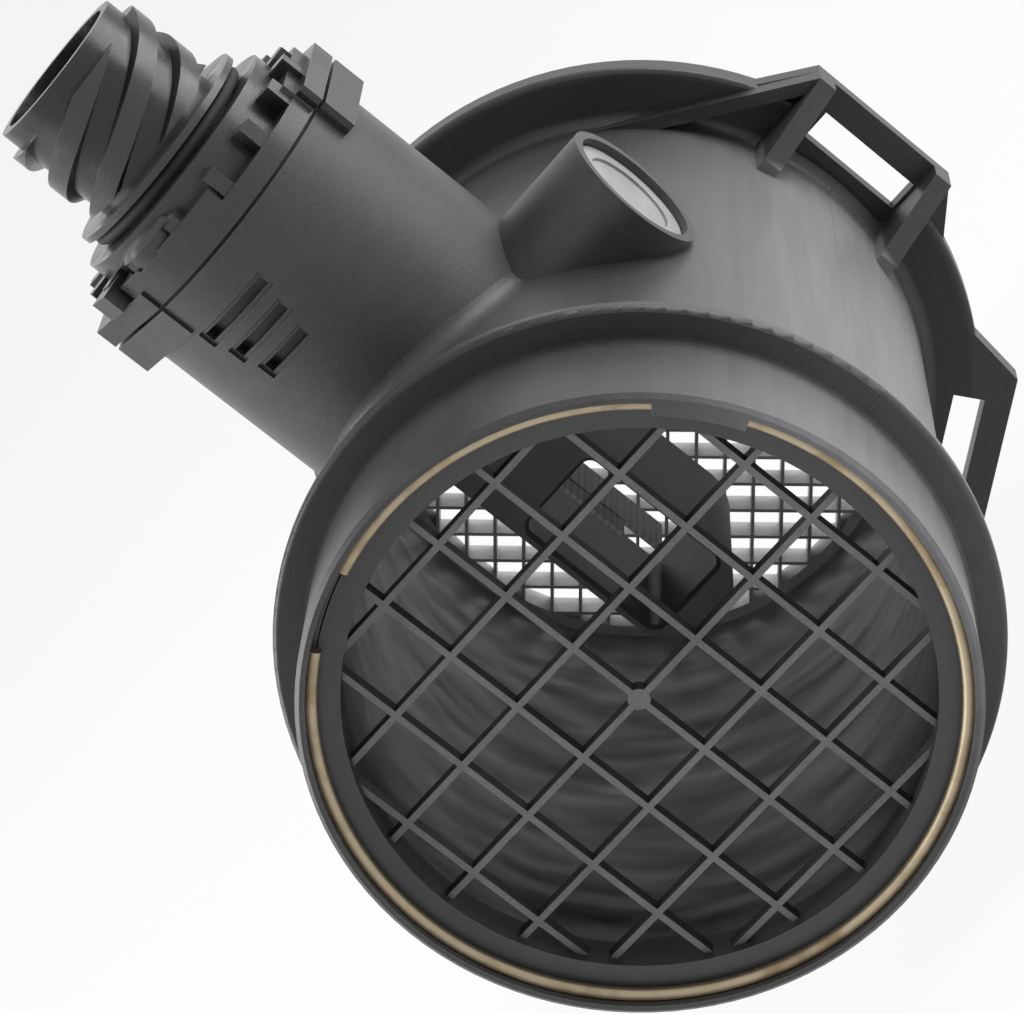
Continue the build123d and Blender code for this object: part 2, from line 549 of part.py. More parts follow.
# ---- flow straightener: thin crossed walls in a rim ----------------------------------------------------------
STRAIGHTENER_OPENING_R = STRAIGHTENER_R - STRAIGHTENER_RIM_T
STRAIGHTENER_ROWS = int(STRAIGHTENER_OPENING_R / STRAIGHTENER_PITCH)
with BuildPart() as flow_straightener:
    with BuildSketch(flow_plane(STRAIGHTENER_Y)):
        with Locations(Rotation(0, 0, STRAIGHTENER_TURN)):
            for row in range(-STRAIGHTENER_ROWS, STRAIGHTENER_ROWS + 1):
                with Locations((0, row * STRAIGHTENER_PITCH)):
                    Rectangle(2 * STRAIGHTENER_R, STRAIGHTENER_WALL)
                with Locations((row * STRAIGHTENER_PITCH, 0)):
                    Rectangle(STRAIGHTENER_WALL, 2 * STRAIGHTENER_R)
        Circle(STRAIGHTENER_R, mode=Mode.INTERSECT)
        with BuildSketch(flow_plane(STRAIGHTENER_Y), mode=Mode.ADD):
            Circle(STRAIGHTENER_R)
            Circle(STRAIGHTENER_OPENING_R, mode=Mode.SUBTRACT)
    extrude(amount=-STRAIGHTENER_T)
flow_straightener.part.label = "flow_straightener"
export_step(flow_straightener.part, "parts/flow_straightener.step")

wire_ring("straightener_snap_ring", REAR_RING_Y, REAR_RING_R, REAR_WIRE_R,
          90 - REAR_GAP_ANGLE / 2, 90 + REAR_GAP_ANGLE / 2)


# ---- flange seal: a flat rubber ring, pressed flush into its groove --------------------------------------------
with BuildPart() as flange_seal:
    with BuildSketch(AXIS_PLANE):
        Circle(SEAL_R + SEAL_WIDTH / 2 - FIT / 2)
        Circle(SEAL_R - SEAL_WIDTH / 2 + FIT / 2, mode=Mode.SUBTRACT)
    extrude(amount=SEAL_DEPTH)
flange_seal.part.label = "flange_seal"
export_step(flange_seal.part, "parts/flange_seal.step")


def sunk_disc():
    """Disc that fits the neck cavity, notched for the trim leads and drilled for the two screws."""
    Circle(INNER_DISC_R)
    with Locations((LEAD_WAY_X + INNER_DISC_R / 2, 0)):
        Rectangle(INNER_DISC_R + LEAD_WAY_T, LEAD_WAY_WIDTH, mode=Mode.SUBTRACT)
    for turn in (0, 180):
        with Locations(Rotation(0, 0, turn)):
            with Locations(SCREW_PLACE):
                Circle(SCREW_R + FIT, mode=Mode.SUBTRACT)


# ---- gasket under the flange of the measuring duct ---------------------------------------------------------------
with BuildPart() as duct_gasket:
    with BuildSketch(neck_plane(NECK_FLOOR_Z)):
        sunk_disc()
        with Locations((0, DUCT_SHIFT)):
            Rectangle(DUCT_WIDTH + 2 * FIT, DUCT_LENGTH + 2 * FIT, mode=Mode.SUBTRACT)
    extrude(amount=GASKET_T)
duct_gasket.part.label = "duct_gasket"
export_step(duct_gasket.part, "parts/duct_gasket.step")


# ---- measuring duct: a finger across the tube with the measuring channel through it --------------------------------
with BuildPart() as measuring_duct:
    with BuildSketch(flow_plane(DUCT_FRONT_Y)):
        with BuildLine():
            Polyline((-DUCT_WIDTH / 2, DUCT_TIP_Z + DUCT_TIP_R), (-DUCT_WIDTH / 2, GASKET_TOP_Z),
                     (DUCT_WIDTH / 2, GASKET_TOP_Z), (DUCT_WIDTH / 2, DUCT_TIP_Z + DUCT_TIP_R))
            ThreePointArc((-DUCT_WIDTH / 2, DUCT_TIP_Z + DUCT_TIP_R), (0, DUCT_TIP_Z),
                          (DUCT_WIDTH / 2, DUCT_TIP_Z + DUCT_TIP_R))
        make_face()
    extrude(amount=-DUCT_LENGTH)
    # guide grooves down both sides
    with BuildSketch(Plane.XY.offset(DUCT_GROOVE_LOW_Z)):
        for side in (-1, 1):
            with Locations((side * DUCT_WIDTH / 2, DUCT_Y)):
                Rectangle(2 * DUCT_GROOVE_DEPTH, DUCT_GROOVE_WIDTH)
    extrude(amount=GASKET_TOP_Z - DUCT_GROOVE_LOW_Z, mode=Mode.SUBTRACT)
    with BuildSketch(neck_plane(GASKET_TOP_Z)):
        sunk_disc()
    extrude(amount=DUCT_FLANGE_T)
    with BuildSketch(flow_plane(DUCT_FRONT_Y)):
        with Locations((0, (CHANNEL_TOP_Z + CHANNEL_BOTTOM_Z) / 2)):
            RectangleRounded(CHANNEL_WIDTH, CHANNEL_TOP_Z - CHANNEL_BOTTOM_Z, CHANNEL_CORNER_R)
    extrude(amount=-DUCT_LENGTH, mode=Mode.SUBTRACT)
    mouths = measuring_duct.edges().filter_by_position(Axis.Z, CHANNEL_BOTTOM_Z - 0.01, CHANNEL_TOP_Z + 0.01)
    mouths = mouths.filter_by(lambda e: abs(e.center().X) < CHANNEL_WIDTH / 2 + 0.01)
    chamfer(mouths.filter_by(lambda e: abs(e.tangent_at(0.5).Y) < 0.01), CHANNEL_MOUTH)
    # well for the film holder and its leads
    with BuildSketch(Plane.XY.offset(WELL_FLOOR_Z)):
        with Locations((0, DUCT_Y)):
            Rectangle(DUCT_WELL_WIDTH, DUCT_WELL_LENGTH)
    extrude(amount=DUCT_TOP_Z - WELL_FLOOR_Z, mode=Mode.SUBTRACT)
    # slots of the two films through the roof of the channel
    with BuildSketch(neck_plane(CHANNEL_TOP_Z)):
        with Locations(FILM_PLACE):
            Rectangle(FILM_T + 2 * FINE_FIT, FILM_LENGTH + 2 * FINE_FIT)
        with Locations(AIR_FILM_PLACE):
            Rectangle(FILM_T + 2 * FINE_FIT, AIR_FILM_LENGTH + 2 * FINE_FIT)
    extrude(amount=DUCT_ROOF_T, mode=Mode.SUBTRACT)
measuring_duct.part.label = "measuring_duct"
export_step(measuring_duct.part, "parts/measuring_duct.step")


# ---- the heated film, the air temperature film and their holder ------------------------------------------------------
def film(name, place, length, tip_z, top_z):
    """Thin ceramic plate that hangs in the measuring channel."""
    with BuildPart() as plate:
        with BuildSketch(neck_plane(tip_z)):
            with Locations(place):
                Rectangle(FILM_T, length)
        extrude(amount=top_z - tip_z)
    plate.part.label = name
    export_step(plate.part, f"parts/{name}.step")


film("hot_film", FILM_PLACE, FILM_LENGTH, FILM_TIP_Z, FILM_TOP_Z)
film("air_temperature_film", AIR_FILM_PLACE, AIR_FILM_LENGTH, AIR_FILM_TIP_Z, AIR_FILM_TOP_Z)

with BuildPart() as film_holder:
    with BuildSketch(neck_plane(WELL_FLOOR_Z)):
        with Locations(HOLDER_PLACE):
            Rectangle(HOLDER_WIDTH, HOLDER_LENGTH)
        with Locations(FILM_PLACE):
            Rectangle(FILM_T + 2 * FINE_FIT, FILM_LENGTH + 2 * FINE_FIT, mode=Mode.SUBTRACT)
        with Locations(AIR_FILM_PLACE):
            Rectangle(FILM_T + 2 * FINE_FIT, AIR_FILM_LENGTH + 2 * FINE_FIT, mode=Mode.SUBTRACT)
    extrude(amount=HOLDER_HEIGHT)
film_holder.part.label = "film_holder"
export_step(film_holder.part, "parts/film_holder.step")

with BuildPart() as sensor_leads:
    for foot_z, places in ((FILM_TOP_Z, FILM_LEAD_Y), (AIR_FILM_TOP_Z, AIR_LEAD_Y)):
        with BuildSketch(neck_plane(foot_z)):
            with Locations([(0, place) for place in places]):
                Circle(SENSOR_LEAD_R)
        extrude(amount=BOARD_TOP_Z - foot_z)
sensor_leads.part.label = "sensor_leads"
export_step(sensor_leads.part, "parts/sensor_leads.step")


# ---- base plate and circuit board ---------------------------------------------------------------------------------------
with BuildPart() as base_plate:
    with BuildSketch(neck_plane(DUCT_TOP_Z)):
        sunk_disc()
        with Locations(LEAD_SLOT_PLACE):
            SlotOverall(LEAD_SLOT_LENGTH, LEAD_SLOT_WIDTH, rotation=90, mode=Mode.SUBTRACT)
    extrude(amount=BASE_PLATE_T)
base_plate.part.label = "base_plate"
export_step(base_plate.part, "parts/base_plate.step")

with BuildPart() as circuit_board:
    with BuildSketch(neck_plane(BASE_PLATE_TOP_Z)):
        Rectangle(BOARD_WIDTH, BOARD_LENGTH)
        with Locations([(0, place) for place in FILM_LEAD_Y + AIR_LEAD_Y]):
            Circle(SENSOR_LEAD_R + FINE_FIT, mode=Mode.SUBTRACT)
    extrude(amount=BOARD_T)
circuit_board.part.label = "circuit_board"
export_step(circuit_board.part, "parts/circuit_board.step")

with BuildPart() as hybrid_chip:
    with BuildSketch(neck_plane(BOARD_TOP_Z)):
        with Locations(CHIP_PLACE):
            Rectangle(CHIP_SIZE, CHIP_SIZE)
    extrude(amount=CHIP_T)
hybrid_chip.part.label = "hybrid_chip"
export_step(hybrid_chip.part, "parts/hybrid_chip.step")

with BuildPart() as capacitors:
    with BuildSketch(neck_plane(BOARD_TOP_Z)):
        across, along = CAPACITOR_PLACE
        with Locations([(across, along - i * CAPACITOR_PITCH) for i in range(CAPACITOR_COUNT)]):
            Rectangle(CAPACITOR_LENGTH, CAPACITOR_WIDTH)
    extrude(amount=CAPACITOR_T)
capacitors.part.label = "capacitors"
export_step(capacitors.part, "parts/capacitors.step")

with BuildPart() as module_screws:
    for turn in (0, 180):
        shank_z = NECK_FLOOR_Z - SCREW_DEPTH
        for foot_z, radius, length in ((shank_z, SCREW_R, BASE_PLATE_TOP_Z - shank_z),
                                       (BASE_PLATE_TOP_Z, SCREW_HEAD_R, SCREW_HEAD_T)):
            with BuildSketch(neck_plane(foot_z)):
                with Locations(Rotation(0, 0, turn)):
                    with Locations(SCREW_PLACE):
                        Circle(radius)
            extrude(amount=length)
        with BuildSketch(neck_plane(BASE_PLATE_TOP_Z + SCREW_HEAD_T)):
            with Locations(Rotation(0, 0, turn)):
                with Locations(SCREW_PLACE):
                    RegularPolygon(SCREW_DRIVE_R, 6)
        extrude(amount=-SCREW_DRIVE_DEPTH, mode=Mode.SUBTRACT)
module_screws.part.label = "module_screws"
export_step(module_screws.part, "parts/module_screws.step")


# ---- trim potentiometer, its screw, its leads and the tamper cap, in the boss ----------------------------------------------
def boss_disc(name, from_x, thickness, radius, slot_width=0.0, slot_depth=0.0, bore=0.0, bore_depth=0.0):
    """Round piece on the axis of the trim boss, with a slot or a bore in its outer face."""
    with BuildPart() as disc:
        with BuildSketch(Plane.YZ.offset(from_x)):
            with Locations((NECK_Y, BOSS_Z)):
                Circle(radius)
        extrude(amount=thickness)
        if slot_depth:
            with BuildSketch(Plane.YZ.offset(from_x + thickness)):
                with Locations((NECK_Y, BOSS_Z)):
                    Rectangle(2 * radius, slot_width)
            extrude(amount=-slot_depth, mode=Mode.SUBTRACT)
        if bore_depth:
            with BuildSketch(Plane.YZ.offset(from_x + thickness)):
                with Locations((NECK_Y, BOSS_Z)):
                    Circle(bore)
            extrude(amount=-bore_depth, mode=Mode.SUBTRACT)
    disc.part.label = name
    export_step(disc.part, f"parts/{name}.step")


boss_disc("trim_potentiometer", POT_SEAT_X, POT_T, POT_SEAT_R - FIT,
          bore=POT_SCREW_R + FINE_FIT, bore_depth=POT_SCREW_DEPTH)
boss_disc("trim_screw", POT_SEAT_X + POT_T - POT_SCREW_DEPTH, POT_SCREW_T, POT_SCREW_R,
          slot_width=POT_SCREW_SLOT, slot_depth=POT_SCREW_SLOT)
boss_disc("tamper_cap", CAP_SEAT_X, CAP_T, CAP_SEAT_R - FIT, bore=CAP_DISH_R, bore_depth=CAP_DISH_DEPTH)

with BuildPart() as trim_leads:
    loop_z = BOARD_TOP_Z + TRIM_LEAD_RISE
    for spread in TRIM_LEAD_SPREAD:
        with BuildLine():
            FilletPolyline((POT_SEAT_X, NECK_Y + spread, LEAD_WAY_Z), (LEAD_WAY_X, NECK_Y + spread, LEAD_WAY_Z),
                           (LEAD_WAY_X, NECK_Y + spread, loop_z), (TRIM_LEAD_END_X, NECK_Y + spread, loop_z),
                           (TRIM_LEAD_END_X, NECK_Y + spread, BOARD_TOP_Z), radius=TRIM_LEAD_BEND_R)
        with BuildSketch(Plane(origin=(POT_SEAT_X, NECK_Y + spread, LEAD_WAY_Z), z_dir=(-1, 0, 0))):
            Circle(TRIM_LEAD_R)
        sweep()
trim_leads.part.label = "trim_leads"
export_step(trim_leads.part, "parts/trim_leads.step")


# ---- connector cover: plate, ribbed collar, seal groove and threaded shell, moulded in one ------------------------------------
THREAD_Z = SHELL_Z + THREAD_FOOT
THREAD_LENGTH = SHELL_TOP_Z - THREAD_TOP_GAP - THREAD_Z
THREAD_CREST_R = SHELL_R + THREAD_HEIGHT
RIDGE_FOOT_R = SHELL_R - SHELL_WALL / 4
RIDGE_HALF = THREAD_ARC / 2
RIDGE_CREST_HALF = RIDGE_HALF - THREAD_FLANK

with BuildSketch(neck_plane(THREAD_Z)) as ridge:
    with BuildLine():
        ThreePointArc(polar(THREAD_CREST_R, -RIDGE_CREST_HALF), (THREAD_CREST_R, 0),
                      polar(THREAD_CREST_R, RIDGE_CREST_HALF))
        Line(polar(THREAD_CREST_R, RIDGE_CREST_HALF), polar(RIDGE_FOOT_R, RIDGE_HALF))
        ThreePointArc(polar(RIDGE_FOOT_R, RIDGE_HALF), (RIDGE_FOOT_R, 0), polar(RIDGE_FOOT_R, -RIDGE_HALF))
        Line(polar(RIDGE_FOOT_R, -RIDGE_HALF), polar(THREAD_CREST_R, -RIDGE_CREST_HALF))
    make_face()
twist = 360 * THREAD_LENGTH / THREAD_LEAD
ridge_solid = Solid.extrude_linear_with_rotation(ridge.sketch.faces()[0], center=(0, NECK_Y, THREAD_Z),
                                                 normal=(0, 0, THREAD_LENGTH), angle=twist)

with BuildPart() as connector_cover:
    with BuildSketch(neck_plane(COVER_Z)):
        neck_outline(NECK_R)
    extrude(amount=COVER_PLATE_T)
    with BuildSketch(neck_plane(COVER_Z)):
        corner_lug(COVER_LUG_INSET)
        Circle(NECK_R - COVER_LUG_WIDTH, mode=Mode.SUBTRACT)
    extrude(amount=COVER_LUG_T)
    # ribbed collar
    with BuildSketch(neck_plane(PLATE_TOP_Z)):
        Circle(COLLAR_R)
    extrude(amount=COLLAR_HEIGHT)
    with BuildSketch(neck_plane(PLATE_TOP_Z)):
        with PolarLocations(0, COVER_RIBS):
            with Locations(((COLLAR_R + NECK_R) / 2 - 1, 0)):
                Rectangle(NECK_R - COLLAR_R + 1, COVER_RIB_T)
        Circle(NECK_R - FIT, mode=Mode.INTERSECT)
    extrude(amount=COVER_RIB_HEIGHT)
    # closed shoulder, with the round port in a fine groove, and the square stud
    with BuildSketch(neck_plane(PLATE_TOP_Z)):
        Circle(NECK_R)
        wedge(*SHOULDER_ANGLES, 2 * NECK_R)
    extrude(amount=SHOULDER_HEIGHT)
    with BuildSketch(neck_plane(PLATE_TOP_Z + SHOULDER_HEIGHT - PORT_GROOVE)):
        with Locations(polar(PORT_REACH, PORT_ANGLE)):
            Circle(PORT_R + PORT_GROOVE)
        Circle(COLLAR_R, mode=Mode.SUBTRACT)
    extrude(amount=PORT_GROOVE, mode=Mode.SUBTRACT)
    for foot_z, length, lean in ((PLATE_TOP_Z, PORT_HEIGHT - PORT_EDGE, 0),
                                 (PLATE_TOP_Z + PORT_HEIGHT - PORT_EDGE, PORT_EDGE, 45)):
        with BuildSketch(neck_plane(foot_z)):
            with Locations(polar(PORT_REACH, PORT_ANGLE)):
                Circle(PORT_R)
        extrude(amount=length, taper=lean)
    with BuildSketch(neck_plane(PLATE_TOP_Z)):
        with Locations(Rotation(0, 0, STUD_ANGLE)):
            with Locations((STUD_REACH, 0)):
                Rectangle(STUD_SIZE, STUD_SIZE)
    extrude(amount=STUD_HEIGHT)
    # seal groove, flange and shell
    for foot_z, radius, length in ((COLLAR_TOP_Z, SEAL_CORE_R, SEAL_GAP),
                                   (COLLAR_FLANGE_Z, COLLAR_FLANGE_R, COLLAR_FLANGE_T),
                                   (SHELL_Z, SHELL_R, SHELL_TOP_Z - SHELL_Z)):
        with BuildSketch(neck_plane(foot_z)):
            Circle(radius)
        extrude(amount=length)
    for start in range(THREAD_STARTS):
        turned = THREAD_START_ANGLE + start * 360 / THREAD_STARTS
        add(ridge_solid.rotate(Axis((0, NECK_Y, 0), (0, 0, 1)), turned))
    # skirt that centres the cover in the neck
    with BuildSketch(neck_plane(COVER_Z)):
        Circle(INNER_DISC_R)
        Circle(INNER_DISC_R - COVER_SKIRT_T, mode=Mode.SUBTRACT)
    extrude(amount=-COVER_SKIRT_DEPTH)
    # hollow from below, socket from above
    for foot_z, radius, length in ((COVER_Z, COVER_BORE_R, COLLAR_TOP_Z - COLLAR_WALL - COVER_Z),
                                   (COVER_Z, CORE_BORE_R, SHELL_Z - COVER_Z),
                                   (SHELL_Z, INSERT_R + FINE_FIT, SHELL_FLOOR_T),
                                   (SHELL_FLOOR_Z, SHELL_BORE_R, SHELL_TOP_Z - SHELL_FLOOR_Z)):
        with BuildSketch(neck_plane(foot_z)):
            Circle(radius)
        extrude(amount=length, mode=Mode.SUBTRACT)
connector_cover.part.label = "connector_cover"
export_step(connector_cover.part, "parts/connector_cover.step")

with BuildPart() as cover_seal:
    with BuildSketch(neck_plane(NECK_TOP_Z)):
        Circle(NECK_R - COVER_SEAL_INSET)
        Circle(NECK_CAVITY_R, mode=Mode.SUBTRACT)
    extrude(amount=COVER_SEAL_T)
cover_seal.part.label = "cover_seal"
export_step(cover_seal.part, "parts/cover_seal.step")

with BuildPart() as connector_seal:
    with BuildSketch(Plane.XZ.offset(-NECK_Y)):
        with Locations((SEAL_CORE_R + FINE_FIT + CONNECTOR_SEAL_WIRE_R, COLLAR_TOP_Z + SEAL_GAP / 2)):
            Circle(CONNECTOR_SEAL_WIRE_R)
    revolve(axis=Axis((0, NECK_Y, 0), (0, 0, 1)))
connector_seal.part.label = "connector_seal"
export_step(connector_seal.part, "parts/connector_seal.step")


# ---- contacts ---------------------------------------------------------------------------------------------------------------------
def contact_places():
    """Centres of the contact pins, from the neck axis."""
    return [polar(PIN_CIRCLE_R, PIN_START_ANGLE + i * 360 / PIN_COUNT) for i in range(PIN_COUNT)]


with BuildPart() as contact_insert:
    for foot_z, radius, length in ((INSERT_FOOT_Z, INSERT_R, INSERT_DEPTH),
                                   (SHELL_FLOOR_Z, SHELL_BORE_R - FIT, INSERT_FLANGE_T)):
        with BuildSketch(neck_plane(foot_z)):
            Circle(radius)
        extrude(amount=length)
    with BuildSketch(neck_plane(INSERT_FOOT_Z)):
        with Locations(contact_places()):
            Circle(PIN_R + FINE_FIT)
    extrude(amount=INSERT_DEPTH + INSERT_FLANGE_T, mode=Mode.SUBTRACT)
contact_insert.part.label = "contact_insert"
export_step(contact_insert.part, "parts/contact_insert.step")

with BuildPart() as contact_pins:
    with BuildSketch(neck_plane(PIN_FOOT_Z)):
        with Locations(contact_places()):
            Circle(PIN_R)
    extrude(amount=PIN_TIP_Z - PIN_FOOT_Z)
    chamfer(contact_pins.faces().sort_by(Axis.Z)[-PIN_COUNT:].edges(), PIN_R / 3)
contact_pins.part.label = "contact_pins"
export_step(contact_pins.part, "parts/contact_pins.step")

with BuildPart() as contact_leads:
    with BuildSketch(neck_plane(BOARD_TOP_Z)):
        with Locations(contact_places()):
            Circle(CONTACT_LEAD_R)
    extrude(amount=PIN_FOOT_Z - BOARD_TOP_Z)
contact_leads.part.label = "contact_leads"
export_step(contact_leads.part, "parts/contact_leads.step")
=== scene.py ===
import bpy
from mathutils import Matrix, Vector


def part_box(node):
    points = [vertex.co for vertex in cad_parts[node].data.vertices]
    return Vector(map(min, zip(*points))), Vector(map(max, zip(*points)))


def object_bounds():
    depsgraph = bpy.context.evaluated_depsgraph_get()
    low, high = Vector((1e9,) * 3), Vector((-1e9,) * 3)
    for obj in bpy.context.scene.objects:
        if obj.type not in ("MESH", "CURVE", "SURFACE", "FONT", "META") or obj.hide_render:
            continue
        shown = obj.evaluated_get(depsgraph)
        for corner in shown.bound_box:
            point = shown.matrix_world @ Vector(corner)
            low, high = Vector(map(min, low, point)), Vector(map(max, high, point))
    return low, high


bl_info = {
    "name": "Mass Airflow Sensor Finishes",
    "version": (1, 0, 0),
    "blender": (4, 5, 0),
    "location": "View3D > Sidebar > Airflow Sensor",
    "description": "Dresses the mass airflow sensor with its moulded, metal and ceramic finishes",
    "category": "Material",
}

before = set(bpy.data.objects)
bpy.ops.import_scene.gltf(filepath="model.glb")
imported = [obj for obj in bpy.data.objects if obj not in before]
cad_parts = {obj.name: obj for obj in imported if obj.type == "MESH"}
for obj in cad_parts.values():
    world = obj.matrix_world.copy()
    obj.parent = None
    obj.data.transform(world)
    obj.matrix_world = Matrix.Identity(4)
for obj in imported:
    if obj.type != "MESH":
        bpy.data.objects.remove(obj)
CAD_BOX = [list(corner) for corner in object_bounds()]

MM = 0.001
WHITE = (1.0, 1.0, 1.0, 1.0)

# ---- places on the sensor, in millimetres ------------------------------------------------------------------
# Y runs along the flow, from the mouth of the spigot at the low end to the mounting face at 0. Z runs up the
# neck. A pair is a soft step, from where it begins to where it is full.

GRID_LOW, GRID_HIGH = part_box("protective_grid")
COVER_LOW, COVER_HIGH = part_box("connector_cover")
GRID_FACE_Y = GRID_LOW.y / MM
GRID_RIM_R = GRID_HIGH.x / MM - 3.5          # inside of the grid's rim
NECK_Y = (COVER_LOW.y + COVER_HIGH.y) / 2 / MM

# Distances from the flow axis.
BORE_WALL = (39.6, 40.0)                     # from the air into the tube's wall
HOLLOW_FLOOR = (42.0, 44.0)                  # from the tube's wall into the hollow of the flange
HOLLOW_RIM = (50.2, 50.9)
BEAD_FOOT = (44.2, 44.6)
EAR_FOOT = (44.6, 45.6)
GRID_RIM = (GRID_RIM_R - 0.4, GRID_RIM_R)

# Distances from the neck's axis.
LOUVRE_FLOOR = (20.3, 21.2)
COLLAR_POCKET = (20.2, 21.4)
SHELL_GROOVE = (11.6, 12.6)                  # from the shell's plain wall to the sides of its ridges
SHELL_CREST = (12.8, 13.1)

# Along the flow.
# Painted shade in the bore near the mouth, fading out between these places.
BORE_MOUTH_SHADE = (GRID_FACE_Y + 8, GRID_FACE_Y + 40)
BEAD_FRONT = (-94.55, -94.05)                # through the rounding in front of the bead
EAR_RIBS = (-36.0, -30.0)
FLANGE_HOLLOW = (-9.0, -5.0)

# Up the neck, and over or under the flow axis.
PARTING_LINE = (0.06, 0.22)
# Painted light on one side of the tube fades out between these heights.
SIDE_LIGHT_TOP = (4.0, 34.0)
EAR_TOP = (50.0, 53.0)
LOUVRE_FOOT = 52.0
PLATE_TOP = 77.5                             # a little inside the top of the cover's plate
POCKET_TOP = (78.9, 80.9)
SHELL_FOOT_Z = COVER_HIGH.z / MM - 17.0
SHELL_FOOT = (SHELL_FOOT_Z - 0.3, SHELL_FOOT_Z + 0.3)

# Across the flow.
# Painted light on one side of the tube, from where it begins to where it is full.
SIDE_LIGHT_ACROSS = (14.0, 41.0)

# ---- the view: a long lens from the spigot's side, rolled so that the neck leans to the upper left ---------

CAMERA_PLACE = Vector((172.04, -570.85, 147.18)) * MM
CAMERA_LOOK = Vector((-0.3221, 0.9174, -0.2337)).normalized()
CAMERA_UP = Vector((0.6972, 0.3969, 0.5969)).normalized()
CAMERA_RIGHT = CAMERA_LOOK.cross(CAMERA_UP)
LENS_MM = 140.6
SENSOR_MM = 36.0

FLOOR_REACH = 3.0
FLOOR_COLOUR = (0.9, 0.9, 0.9)

# Each lamp's name, its place from the sensor's middle to the camera's right, up and ahead in metres, its side
# in metres and its share of the key light's power.
LAMPS = (
    ("key_lamp", (0.28, 0.72, -0.13), 0.7, 1.0),
    ("left_lamp", (-0.7, -0.3, -0.02), 0.6, 0.9),
    ("right_lamp", (0.74, 0.15, -0.04), 0.6, 1.2),
)

# ---- colours of the pieces that the sidebar doesn't list ---------------------------------------------------

STAIN_BROWN = (0.27, 0.19, 0.10)
SEAL_BLACK = (0.022, 0.022, 0.023)
GASKET_BLACK = (0.02, 0.02, 0.021)
HOLDER_BLACK = (0.05, 0.05, 0.05)
FILM_GREY = (0.30, 0.30, 0.28)
FILM_TRACK = (0.17, 0.165, 0.15)
BOARD_IVORY = (0.7, 0.69, 0.65)
BOARD_TRACK = (0.5, 0.46, 0.4)

# Material, colour, roughness and nodes of the small metal pieces and of the small moulded ones.
SMALL_METALS = (
    ("plate_aluminium", (0.68, 0.68, 0.69), 0.35, ["base_plate"]),
    ("tinned_wire", (0.66, 0.65, 0.62), 0.3, ["sensor_leads", "trim_leads", "contact_leads"]),
    ("zinc_screw", (0.55, 0.55, 0.56), 0.3, ["module_screws"]),
    ("tinned_contact", (0.7, 0.68, 0.62), 0.25, ["contact_pins"]),
    ("turned_brass", (0.66, 0.5, 0.24), 0.3, ["trim_screw"]),
)
SMALL_MOULDINGS = (
    ("chip_plastic", (0.02, 0.02, 0.02), 0.4, ["hybrid_chip"]),
    ("capacitor_body", (0.42, 0.29, 0.16), 0.5, ["capacitors"]),
    ("potentiometer_body", (0.05, 0.09, 0.22), 0.4, ["trim_potentiometer"]),
)


# ---- shader maths ------------------------------------------------------------------------------------------

def maths(operation, reflected=False):
    """A Python operator that adds one Math node."""
    def apply(socket, other):
        pair = [other, socket] if reflected else [socket, other]
        return socket.tree.node("ShaderNodeMath", {"operation": operation}, pair)
    return apply


class Socket:
    """A shader socket that can be used in Python expressions."""

    def __init__(self, tree, socket):
        self.tree = tree
        self.socket = socket

    __add__ = maths("ADD")
    __radd__ = maths("ADD", reflected=True)
    __sub__ = maths("SUBTRACT")
    __rsub__ = maths("SUBTRACT", reflected=True)
    __mul__ = maths("MULTIPLY")
    __rmul__ = maths("MULTIPLY", reflected=True)
    __truediv__ = maths("DIVIDE")
    __rtruediv__ = maths("DIVIDE", reflected=True)
    __pow__ = maths("POWER")
    __rpow__ = maths("POWER", reflected=True)
    __gt__ = maths("GREATER_THAN")
    __lt__ = maths("LESS_THAN")
    larger = maths("MAXIMUM")
    zigzag = maths("PINGPONG")

    def __abs__(self):
        return self.tree.node("ShaderNodeMath", {"operation": "ABSOLUTE"}, [self])

    def between(self, low, high):
        """0 below low, 1 above high and a soft step between them."""
        settings = {"interpolation_type": "SMOOTHSTEP"}
        return self.tree.node("ShaderNodeMapRange", settings, {"Value": self, "From Min": low, "From Max": high})


